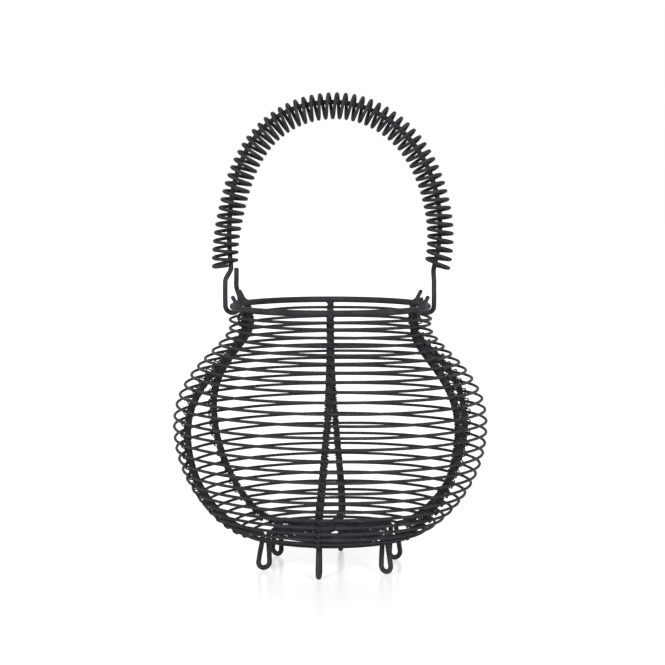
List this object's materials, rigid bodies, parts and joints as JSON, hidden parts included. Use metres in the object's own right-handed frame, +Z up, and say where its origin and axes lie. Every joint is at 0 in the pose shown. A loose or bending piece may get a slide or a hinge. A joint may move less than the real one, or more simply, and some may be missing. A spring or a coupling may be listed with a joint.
{
  "type": "egg basket",
  "caption": "Round black wire egg basket: twisted ribs with looped feet, a spiral weaver wire, a hoop rim, and a swinging bail handle in a loose coiled grip.",
  "frame": {"origin": "on the surface it stands on, under the middle of the basket", "axes": "+Z up, -Y towards the front that the picture shows, +X to the right, with the two eyes of the bail on X"},
  "size_m": [0.1997, 0.2008, 0.3016],
  "materials": {
    "rim_hoop": "satin black paint",
    "rib_front": "satin black paint",
    "rib_front_right": "satin black paint",
    "rib_back_right": "satin black paint",
    "rib_back": "satin black paint",
    "rib_back_left": "satin black paint",
    "rib_front_left": "satin black paint",
    "weaver_turns_1_2": "satin black paint",
    "weaver_turns_3_4": "satin black paint",
    "weaver_turns_5_6": "satin black paint",
    "weaver_turns_7_8": "satin black paint",
    "weaver_turns_9_10": "satin black paint",
    "weaver_turns_11_12": "satin black paint",
    "weaver_turns_13_14": "satin black paint",
    "weaver_turns_15_16": "satin black paint",
    "weaver_turns_17_18": "satin black paint",
    "weaver_turns_19_20": "satin black paint",
    "weaver_turns_21_22": "satin black paint",
    "weaver_turns_23_24": "satin black paint",
    "weaver_turns_25_26": "satin black paint",
    "weaver_base": "satin black paint",
    "rim_peg_front_right": "satin black paint",
    "rim_peg_back_right": "satin black paint",
    "rim_peg_back_left": "satin black paint",
    "rim_peg_front_left": "satin black paint",
    "bail_wire": "satin black paint",
    "grip_coil": "satin black paint"
  },
  "bodies": {
    "basket": {"rim_hoop": "rim_hoop", "rib_front": "rib_front", "rib_front_right": "rib_front_right", "rib_back_right": "rib_back_right", "rib_back": "rib_back", "rib_back_left": "rib_back_left", "rib_front_left": "rib_front_left", "weaver_turns_1_2": "weaver_turns_1_2", "weaver_turns_3_4": "weaver_turns_3_4", "weaver_turns_5_6": "weaver_turns_5_6", "weaver_turns_7_8": "weaver_turns_7_8", "weaver_turns_9_10": "weaver_turns_9_10", "weaver_turns_11_12": "weaver_turns_11_12", "weaver_turns_13_14": "weaver_turns_13_14", "weaver_turns_15_16": "weaver_turns_15_16", "weaver_turns_17_18": "weaver_turns_17_18", "weaver_turns_19_20": "weaver_turns_19_20", "weaver_turns_21_22": "weaver_turns_21_22", "weaver_turns_23_24": "weaver_turns_23_24", "weaver_turns_25_26": "weaver_turns_25_26", "weaver_base": "weaver_base", "rim_peg_front_right": "rim_peg_front_right", "rim_peg_back_right": "rim_peg_back_right", "rim_peg_back_left": "rim_peg_back_left", "rim_peg_front_left": "rim_peg_front_left"},
    "handle": {"bail_wire": "bail_wire", "grip_coil": "grip_coil"}
  },
  "joints": [
    {"name": "handle_swing", "type": "hinge", "parent": "basket", "child": "handle", "pos_m": [0, 0, 0.1628], "axis": [1, 0, 0], "range_deg": [-55, 55]}
  ]
}
